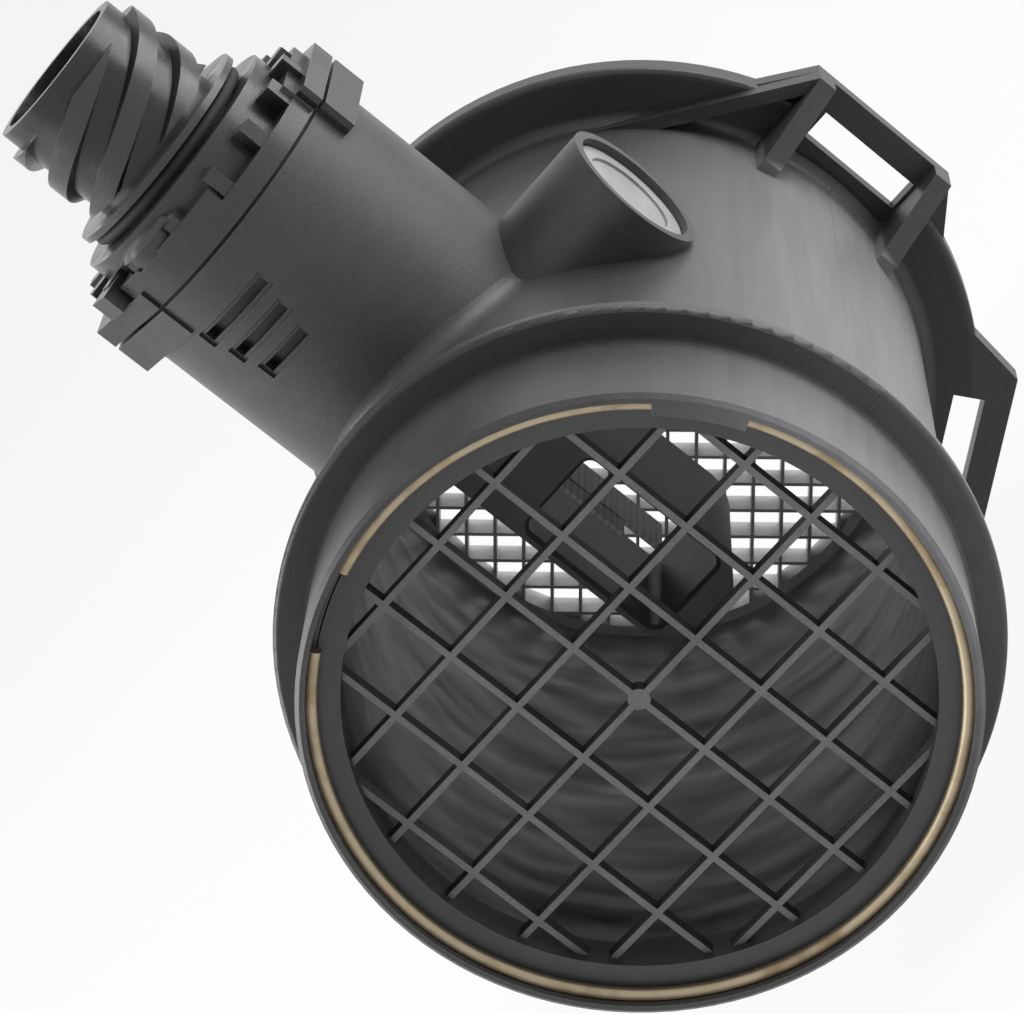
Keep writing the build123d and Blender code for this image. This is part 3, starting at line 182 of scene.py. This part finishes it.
class Tree:
    """The node tree of a material or of the surroundings."""

    def __init__(self, owner):
        owner.use_nodes = True
        self.owner = owner
        self.nodes = owner.node_tree.nodes
        self.links = owner.node_tree.links
        self.nodes.clear()

    def node(self, kind, settings=None, inputs=None, output=0):
        """Adds a node: its settings first, then the values or links of its sockets."""
        made = self.nodes.new(kind)
        for key, value in (settings or {}).items():
            setattr(made, key, value)
        pairs = inputs.items() if isinstance(inputs, dict) else enumerate(inputs or [])
        for key, value in pairs:
            if isinstance(value, Socket):
                self.links.new(value.socket, made.inputs[key])
            else:
                made.inputs[key].default_value = value
        return Socket(self, made.outputs[output]) if made.outputs else None

    def place(self, stretch=(1, 1, 1)):
        """Object-space place in millimetres, stretched."""
        point = self.node("ShaderNodeTexCoord", output="Object")
        return self.node("ShaderNodeMapping", {}, {"Vector": point, "Scale": [share / MM for share in stretch]})

    def noise(self, size, detail=3.0, roughness=0.5, stretch=(1, 1, 1)):
        """Noise of about that grain size in millimetres, from 0 to 1."""
        return self.node("ShaderNodeTexNoise", {}, {"Vector": self.place(stretch), "Scale": 1 / size,
                                                    "Detail": detail, "Roughness": roughness})

    def blend(self, factor, first, second):
        """Mixes two colours."""
        return self.node("ShaderNodeMix", {"data_type": "RGBA"}, {0: factor, 6: first, 7: second}, output=2)

    def layer(self, base, colour, layers):
        """Lays shades of one colour over a base, in order: each has a mask and the colour's gain."""
        for mask, gain in layers:
            base = self.blend(mask, base, rgba(colour, gain))
        return base

    def axis_place(self):
        """Object-space X, Y and Z in millimetres, as three sockets."""
        return [self.node("ShaderNodeSeparateXYZ", {}, [self.place()], output=index) for index in range(3)]

    def mouthward(self):
        """1 on faces that look out of the mouth, 0 on those that look sideways."""
        normal = self.node("ShaderNodeNewGeometry", output="Normal")
        return self.node("ShaderNodeVectorMath", {"operation": "DOT_PRODUCT"}, [normal, (0, -1, 0)], output=1)

    def edges(self, radius):
        """1 on corners that a bevel of that radius in millimetres would round, and 0 on flats."""
        rounded = self.node("ShaderNodeBevel", {"samples": 6}, {"Radius": radius * MM})
        plain = self.node("ShaderNodeNewGeometry", output="Normal")
        likeness = self.node("ShaderNodeVectorMath", {"operation": "DOT_PRODUCT"}, [rounded, plain], output=1)
        return (1 - likeness).between(0.03, 0.3)

    def surface(self, colour, roughness, height=None, depth=0.0, **constants):
        """A Principled shader. height is a bump of that depth in millimetres."""
        inputs = {"Base Color": colour, "Roughness": roughness}
        inputs.update({key.replace("_", " "): value for key, value in constants.items()})
        if height is not None:
            inputs["Normal"] = self.node("ShaderNodeBump", {}, {"Height": height, "Distance": depth * MM,
                                                                "Strength": 1.0})
        return self.node("ShaderNodeBsdfPrincipled", {}, inputs)

    def end(self, shader, kind="ShaderNodeOutputMaterial"):
        """Ends the tree with its output and returns what owns it."""
        self.node(kind, {}, [shader])
        return self.owner


def material_tree(name):
    return Tree(bpy.data.materials.new(name))


def rgba(colour, gain=1.0):
    """Colour with an alpha of 1, lightened or darkened by a gain."""
    return (colour[0] * gain, colour[1] * gain, colour[2] * gain, 1.0)


def distance(first, second):
    return (first * first + second * second) ** 0.5


# ---- finishes ----------------------------------------------------------------------------------------------

def plastic_tone(tree, colour):
    """Colour of glass-filled plastic: soft clouds, faint flow streaks and fine specks."""
    clouds = tree.noise(22, detail=2)
    specks = tree.noise(0.5, detail=2)
    streaks = tree.noise(3.0, detail=3, stretch=(1, 0.12, 1))
    tone = (clouds - 0.5) * 0.5 + (specks - 0.5) * 0.4 + (streaks - 0.5) * 0.3 + 0.5
    body = tree.blend(tone.between(0.2, 0.8), rgba(colour, 0.72), rgba(colour, 1.35))
    return body, clouds, specks


def moulded_plastic(name, colour, roughness, grain_depth=0.03):
    """Glass-filled plastic with an eroded grain and paler edges, from wear and a painted edge highlight."""
    tree = material_tree(name)
    body, clouds, specks = plastic_tone(tree, colour)
    # Paler edges: wear and a painted highlight.
    wear_and_painted_light = tree.blend(tree.edges(0.3) * specks.between(0.25, 0.6), body, rgba(colour, 2.2))
    sheen = roughness + (clouds - 0.5) * 0.12 + (specks - 0.5) * 0.14
    grain = tree.noise(0.35, detail=3, roughness=0.6)
    return tree.end(tree.surface(wear_and_painted_light, sheen, grain, grain_depth, Specular_IOR_Level=0.4))


def housing_plastic(name, colour, bore_sheen_colour, roughness):
    """The housing's plastic: eroded outside with a painted highlight on one side and painted shade in hollows, and
    smooth with soft ripples and a painted sheen in the bore.
    """
    tree = material_tree(name)
    body, clouds, specks = plastic_tone(tree, colour)
    across, along, upward = tree.axis_place()
    from_axis = distance(across, upward)
    from_neck = distance(across, along - NECK_Y)
    inside = 1 - from_axis.between(*BORE_WALL)

    # Paler edges: rubbed wear and a painted highlight along the corners.
    edge_wear_and_highlight = tree.edges(0.35) * specks.between(0.2, 0.6)
    # Painted shade in the louvre slots on the neck.
    louvres = (1 - from_neck.between(*LOUVRE_FLOOR)) * (across < 0) * (upward > LOUVRE_FOOT)
    ears = from_axis.between(*EAR_FOOT) * along.between(*EAR_RIBS)
    # Painted highlight: a streaky pool of light on one side of the tube, below the neck and off the ears.
    streaks = 0.3 + tree.noise(2.2, detail=3, roughness=0.6, stretch=(1, 0.08, 1)) * 0.4
    painted_side_light = across.between(*SIDE_LIGHT_ACROSS) * (1 - upward.between(*SIDE_LIGHT_TOP)) * streaks
    # Painted shade in the hollow of the flange's face and on the front of the bead.
    in_hollow = from_axis.between(*HOLLOW_FLOOR) * (1 - from_axis.between(*HOLLOW_RIM))
    hollow = along.between(*FLANGE_HOLLOW) * in_hollow
    bead = from_axis.between(*BEAD_FOOT) * (1 - along.between(*BEAD_FRONT))
    wear_and_painted_light = tree.layer(body, colour, (
        (edge_wear_and_highlight, 2.4),
        (louvres * 0.85, 0.25),
        (painted_side_light * (1 - ears) * 1.25, 4.8),
        # Painted shade on the ear ribs below their tops.
        (ears * (1 - upward.between(*EAR_TOP)) * 0.4, 0.3),
        (hollow.larger(bead * 0.7) * 0.8, 0.3),
    ))

    # Painted reflection in the bore: its wall is drawn far lighter than the housing as a rippled painted sheen,
    # with painted shade near the mouth.
    ripple = tree.noise(11.0, detail=1, roughness=0.3, stretch=(0.6, 1.6, 1.0))
    bore = tree.blend(ripple.between(0.3, 0.7), rgba(bore_sheen_colour, 0.7), rgba(bore_sheen_colour, 1.5))
    bore = tree.blend(along.between(*BORE_MOUTH_SHADE), rgba(bore_sheen_colour, 0.13), bore)
    tint = tree.blend(inside, wear_and_painted_light, bore)
    sheen = roughness + (clouds - 0.5) * 0.10 + (specks - 0.5) * 0.14 * (1 - inside) - inside * 0.1
    grain = tree.noise(0.35, detail=3, roughness=0.6) * (1 - inside * 0.85)
    parting = (1 - abs(upward).between(*PARTING_LINE)) * (1 - inside)
    relief = grain * 0.035 + ripple * inside * 0.7 + parting * 0.05
    return tree.end(tree.surface(tint, sheen, relief, 1.0, Specular_IOR_Level=0.42))


def cover_plastic(name, colour, roughness):
    """The cover's plastic: glossier, with painted shade in its grooves and the plate's wells, and paler crests
    from wear and a painted highlight.
    """
    tree = material_tree(name)
    body, clouds, specks = plastic_tone(tree, colour)
    across, along, upward = tree.axis_place()
    from_neck = distance(across, along - NECK_Y)
    on_shell = upward.between(*SHELL_FOOT)
    # Painted shade in the grooves between the shell's ridges and in the wells of the plate.
    groove_shade = on_shell * (1 - from_neck.between(*SHELL_GROOVE))
    pocket_shade = (upward > PLATE_TOP) * (1 - upward.between(*POCKET_TOP)) * (1 - from_neck.between(*COLLAR_POCKET))
    # Paler crests and edges: rubbed wear and a painted highlight.
    crest_wear_and_highlight = tree.edges(0.3).larger(on_shell * from_neck.between(*SHELL_CREST) * 0.3)
    # Layers: the shell darker overall, painted shade in grooves and wells, and paler crests from wear and a
    # painted highlight.
    tint = tree.layer(body, colour, (
        (on_shell * 0.5, 0.4),
        (groove_shade * 0.95, 0.1),
        (pocket_shade * 0.75, 0.2),
        (crest_wear_and_highlight * specks.between(-0.2, 0.6), 2.2),
    ))
    smears = tree.noise(4.0, detail=3)
    sheen = roughness + (smears - 0.5) * 0.3 + (specks - 0.5) * 0.1
    grain = tree.noise(0.4, detail=3, roughness=0.6)
    return tree.end(tree.surface(tint, sheen, grain, 0.014, Specular_IOR_Level=0.55))


def grid_plastic(name, colour, roughness):
    """The grid's plastic: its own colour on the faces towards the mouth, with painted shade down the sides of the
    bars and on its rim.
    """
    tree = material_tree(name)
    body, clouds, specks = plastic_tone(tree, colour)
    across, along, upward = tree.axis_place()
    # Painted shade on the grid's rim.
    rim = distance(across, upward).between(*GRID_RIM)
    front = tree.blend(rim * 0.85, body, rgba(colour, 0.36))
    # Painted shade down the sides of the bars: faces that don't look out of the mouth are drawn much darker than
    # the fronts.
    tint = tree.blend(tree.mouthward().between(0.4, 0.9), rgba(colour, 0.22), front)
    sheen = roughness + (clouds - 0.5) * 0.12 + (specks - 0.5) * 0.16
    grain = tree.noise(0.3, detail=3, roughness=0.6)
    return tree.end(tree.surface(tint, sheen, grain, 0.02, Specular_IOR_Level=0.35))


def spring_wire(name, colour, roughness):
    """Drawn wire: fine lines, brown stains, and painted shade towards its inner and outer sides."""
    tree = material_tree(name)
    stains = tree.noise(5.0, detail=5)
    lines = tree.noise(0.16, detail=2)
    tint = tree.blend(stains.between(0.4, 0.75), rgba(colour), rgba(STAIN_BROWN))
    # Painted shade on the wire's inner and outer sides, away from the faces that look out of the mouth.
    tint = tree.blend(tree.mouthward().between(0.3, 0.8), rgba(colour, 0.3), tint)
    return tree.end(tree.surface(tint, roughness + (lines - 0.5) * 0.2, lines, 0.01, Metallic=0.35))


def light_metal(name, colour, roughness, grain=0.5, depth=0.01, metallic=0.8):
    """Dull light metal with a fine grain."""
    tree = material_tree(name)
    grainy = tree.noise(grain, detail=4)
    clouds = tree.noise(9, detail=2)
    tint = tree.blend(clouds.between(0.3, 0.7), rgba(colour, 0.85), rgba(colour, 1.12))
    return tree.end(tree.surface(tint, roughness + (grainy - 0.5) * 0.25, grainy, depth, Metallic=metallic))


def rubber(name, colour):
    """Moulded rubber, matt with a dusty bloom."""
    tree = material_tree(name)
    bloom = tree.noise(5, detail=4)
    tint = tree.blend(bloom.between(0.45, 0.8), rgba(colour), rgba(colour, 2.0))
    return tree.end(tree.surface(tint, 0.75 + (bloom - 0.5) * 0.15, tree.noise(0.3), 0.008))


def ceramic_film(name, colour, track_colour):
    """Fired ceramic plate with printed tracks across it, one each 1.2 mm."""
    tree = material_tree(name)
    across, along, upward = tree.axis_place()
    rows = upward.zigzag(0.6) / 0.6
    mottle = tree.noise(0.8, detail=3)
    tint = tree.blend(rows > 0.62, rgba(colour), rgba(track_colour))
    tint = tree.blend(mottle.between(0.3, 0.9) * 0.25, tint, rgba(colour, 0.7))
    return tree.end(tree.surface(tint, 0.35 + (mottle - 0.5) * 0.1, rows, 0.01))


# ---- settings that a user would change ---------------------------------------------------------------------

def colour_setting(name, description, default):
    return bpy.props.FloatVectorProperty(name=name, description=description, subtype="COLOR", size=3,
                                         default=default, min=0.0, max=1.0)


def share_setting(name, description, default):
    return bpy.props.FloatProperty(name=name, description=description, subtype="FACTOR", default=default,
                                   min=0.0, max=1.0)


class PlasticSettings(bpy.types.PropertyGroup):
    """Colours and gloss of the moulded pieces."""
    housing: colour_setting("Housing", "Colour of the flow tube and the neck", (0.050, 0.0505, 0.0525))
    # The bore's colour is a painted sheen: the wall is the housing's plastic, drawn lighter in place of its
    # reflections.
    bore: colour_setting("Bore", "Colour of the wall inside the flow tube", (0.34, 0.343, 0.352))
    cover: colour_setting("Cover", "Colour of the connector cover", (0.030, 0.0305, 0.032))
    grid: colour_setting("Grid", "Colour of the protective grid", (0.15, 0.152, 0.156))
    duct: colour_setting("Duct", "Colour of the measuring duct", (0.060, 0.0605, 0.058))
    roughness: share_setting("Roughness", "Roughness of the moulded grain", 0.4)
    cover_roughness: share_setting("Cover roughness", "Roughness of the glossier cover", 0.28)


class MetalSettings(bpy.types.PropertyGroup):
    """Colours of the metal pieces."""
    wire: colour_setting("Ring wire", "Colour of the snap rings", (0.50, 0.41, 0.27))
    straightener: colour_setting("Straightener", "Colour of the flow straightener", (0.42, 0.43, 0.44))
    cap: colour_setting("Boss cap", "Colour of the cap in the trim boss", (0.33, 0.332, 0.336))


class StudioSettings(bpy.types.PropertyGroup):
    """Light and floor of the studio."""
    key_power: bpy.props.FloatProperty(name="Key light", description="Power of the large top light", default=7.0,
                                       min=0.0, unit="POWER")
    floor_drop: bpy.props.FloatProperty(name="Floor drop", description="Floor's depth under the sensor",
                                        default=0.0002, min=0.0, unit="LENGTH")
    ambient: share_setting("Ambient", "Brightness of the surroundings", 0.2)
    shadow_share: share_setting("Shadow", "Share of the floor's own shading that shows", 0.12)


# ---- operators for the pieces ------------------------------------------------------------------------------

def dress(material, *names):
    """Gives the CAD pieces of those names a material."""
    for name in names:
        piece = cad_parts[name]
        piece.data.materials.clear()
        piece.data.materials.append(material)


class FINISH_OT_housing(bpy.types.Operator):
    """Finishes the moulded flow tube with its flange, neck and boss"""
    bl_idname = "airflow.housing"
    bl_label = "Housing"

    def execute(self, context):
        plastic = context.scene.airflow_plastic
        dress(housing_plastic("housing_plastic", plastic.housing, plastic.bore, plastic.roughness), "housing")
        return {"FINISHED"}


class FINISH_OT_grid(bpy.types.Operator):
    """Finishes the protective grid and both snap rings"""
    bl_idname = "airflow.grid"
    bl_label = "Protective grid"

    def execute(self, context):
        plastic = context.scene.airflow_plastic
        metal = context.scene.airflow_metal
        dress(grid_plastic("grid_plastic", plastic.grid, plastic.roughness), "protective_grid")
        dress(spring_wire("ring_wire", metal.wire, 0.45), "grid_snap_ring", "straightener_snap_ring")
        return {"FINISHED"}


class FINISH_OT_straightener(bpy.types.Operator):
    """Finishes the flow straightener and the flange seal"""
    bl_idname = "airflow.straightener"
    bl_label = "Flow straightener"

    def execute(self, context):
        metal = context.scene.airflow_metal
        dress(light_metal("straightener_metal", metal.straightener, 0.5), "flow_straightener")
        dress(rubber("flange_seal_rubber", SEAL_BLACK), "flange_seal")
        return {"FINISHED"}


class FINISH_OT_duct(bpy.types.Operator):
    """Finishes the measuring duct, the films, their holder and the contact insert"""
    bl_idname = "airflow.duct"
    bl_label = "Measuring duct"

    def execute(self, context):
        plastic = context.scene.airflow_plastic
        dress(moulded_plastic("duct_plastic", plastic.duct, plastic.roughness, grain_depth=0.02), "measuring_duct")
        dress(moulded_plastic("holder_plastic", HOLDER_BLACK, 0.5), "film_holder", "contact_insert")
        dress(ceramic_film("film_ceramic", FILM_GREY, FILM_TRACK), "hot_film", "air_temperature_film")
        return {"FINISHED"}


class FINISH_OT_electronics(bpy.types.Operator):
    """Finishes the board, the base plate, the leads, the screws and the gaskets"""
    bl_idname = "airflow.electronics"
    bl_label = "Electronics"

    def execute(self, context):
        for name, colour, roughness, nodes in SMALL_METALS:
            dress(light_metal(name, colour, roughness), *nodes)
        for name, colour, roughness, nodes in SMALL_MOULDINGS:
            dress(moulded_plastic(name, colour, roughness), *nodes)
        dress(ceramic_film("board_ceramic", BOARD_IVORY, BOARD_TRACK), "circuit_board")
        dress(rubber("gasket_rubber", GASKET_BLACK), "duct_gasket", "cover_seal", "connector_seal")
        return {"FINISHED"}


class FINISH_OT_connector(bpy.types.Operator):
    """Finishes the connector cover and the cap of the trim boss"""
    bl_idname = "airflow.connector"
    bl_label = "Connector cover"

    def execute(self, context):
        plastic = context.scene.airflow_plastic
        metal = context.scene.airflow_metal
        dress(cover_plastic("cover_plastic", plastic.cover, plastic.cover_roughness), "connector_cover")
        dress(light_metal("cap_finish", metal.cap, 0.6, grain=0.6, depth=0.12, metallic=0.0), "tamper_cap")
        return {"FINISHED"}


# ---- stage -------------------------------------------------------------------------------------------------

def linked(name, data):
    """A new object of that data, in the scene."""
    holder = bpy.data.objects.new(name, data)
    bpy.context.scene.collection.objects.link(holder)
    return holder


def soft_lamp(name, place, target, size, power):
    """Square area lamp at a place, turned to a target."""
    lamp = bpy.data.lights.new(name, "AREA")
    lamp.size = size
    lamp.energy = power
    holder = linked(name, lamp)
    holder.location = place
    holder.rotation_euler = (target - place).to_track_quat("-Z", "Y").to_euler()


def seen_rays(tree):
    """1 for the rays of the camera, of reflections and of transmission, and 0 for those that carry light."""
    camera, glossy, through = [tree.node("ShaderNodeLightPath", output=name)
                               for name in ("Is Camera Ray", "Is Glossy Ray", "Is Transmission Ray")]
    return camera.larger(glossy).larger(through)


def paper(name, colour, shadow_share):
    """Pale paper that shows as plain white, with a share of its own shading so that a shadow stays on it."""
    tree = material_tree(name)
    fibres = tree.noise(3.0, detail=3)
    shade = tree.blend(fibres, rgba(colour), rgba(colour, 0.985))
    lit = tree.surface(shade, 0.95, Specular_IOR_Level=0.0)
    white = tree.node("ShaderNodeEmission", {}, {"Color": WHITE, "Strength": 1.0})
    return tree.end(tree.node("ShaderNodeMixShader", {}, [seen_rays(tree) * (1 - shadow_share), lit, white]))


def surroundings(name, ambient):
    """Plain surroundings that light the sensor dimly and show as white."""
    tree = Tree(bpy.data.worlds.new(name))
    dim = tree.node("ShaderNodeBackground", {}, {"Color": rgba((ambient, ambient, ambient))})
    white = tree.node("ShaderNodeBackground", {}, {"Color": WHITE})
    shown = tree.node("ShaderNodeMixShader", {}, [seen_rays(tree), dim, white])
    return tree.end(shown, "ShaderNodeOutputWorld")


class STAGE_OT_studio(bpy.types.Operator):
    """Sets the floor, the surroundings, the lamps and the camera"""
    bl_idname = "airflow.studio"
    bl_label = "Studio"

    def execute(self, context):
        studio = context.scene.airflow_studio
        scene = context.scene
        scene.view_settings.view_transform = "Standard"
        scene.world = surroundings("studio_surroundings", studio.ambient)

        low, high = (Vector(corner) for corner in CAD_BOX)
        sheet = bpy.data.meshes.new("floor")
        corners = [(x * FLOOR_REACH, y * FLOOR_REACH, low.z - studio.floor_drop)
                   for x, y in ((-1, -1), (1, -1), (1, 1), (-1, 1))]
        sheet.from_pydata(corners, [], [(0, 1, 2, 3)])
        sheet.materials.append(paper("floor_paper", FLOOR_COLOUR, studio.shadow_share))
        linked("floor", sheet)

        middle = (low + high) / 2
        for name, (right, up, ahead), size, share in LAMPS:
            place = middle + CAMERA_RIGHT * right + CAMERA_UP * up + CAMERA_LOOK * ahead
            soft_lamp(name, place, middle, size, studio.key_power * share)

        camera = bpy.data.cameras.new("studio_camera")
        camera.lens = LENS_MM
        camera.sensor_width = SENSOR_MM
        camera.sensor_fit = "HORIZONTAL"
        camera.clip_start = 0.01
        scene.camera = linked("studio_camera", camera)
        turn = Matrix((CAMERA_RIGHT, CAMERA_UP, -CAMERA_LOOK)).transposed().to_4x4()
        scene.camera.matrix_world = Matrix.Translation(CAMERA_PLACE) @ turn
        return {"FINISHED"}


# ---- sidebar and registration ------------------------------------------------------------------------------

OPERATORS = (FINISH_OT_housing, FINISH_OT_grid, FINISH_OT_straightener, FINISH_OT_duct, FINISH_OT_electronics,
             FINISH_OT_connector, STAGE_OT_studio)
SETTINGS = {"airflow_plastic": PlasticSettings, "airflow_metal": MetalSettings, "airflow_studio": StudioSettings}


class VIEW3D_PT_airflow(bpy.types.Panel):
    """Lists the sensor's operators and settings in the sidebar"""
    bl_label = "Airflow Sensor"
    bl_idname = "VIEW3D_PT_airflow"
    bl_space_type = "VIEW_3D"
    bl_region_type = "UI"
    bl_category = "Airflow Sensor"

    def draw(self, context):
        for group in SETTINGS:
            settings = getattr(context.scene, group)
            box = self.layout.box()
            for key in SETTINGS[group].__annotations__:
                box.prop(settings, key)
        for operator in OPERATORS:
            self.layout.operator(operator.bl_idname)


def register():
    for group, settings in SETTINGS.items():
        bpy.utils.register_class(settings)
        setattr(bpy.types.Scene, group, bpy.props.PointerProperty(type=settings))
    for operator in OPERATORS:
        bpy.utils.register_class(operator)
    bpy.utils.register_class(VIEW3D_PT_airflow)


def unregister():
    bpy.utils.unregister_class(VIEW3D_PT_airflow)
    for operator in reversed(OPERATORS):
        bpy.utils.unregister_class(operator)
    for group, settings in SETTINGS.items():
        delattr(bpy.types.Scene, group)
        bpy.utils.unregister_class(settings)


def main():
    """Runs every operator in order."""
    register()
    bpy.ops.airflow.housing()
    bpy.ops.airflow.grid()
    bpy.ops.airflow.straightener()
    bpy.ops.airflow.duct()
    bpy.ops.airflow.electronics()
    bpy.ops.airflow.connector()
    bpy.ops.airflow.studio()


if __name__ == "__main__":
    main()
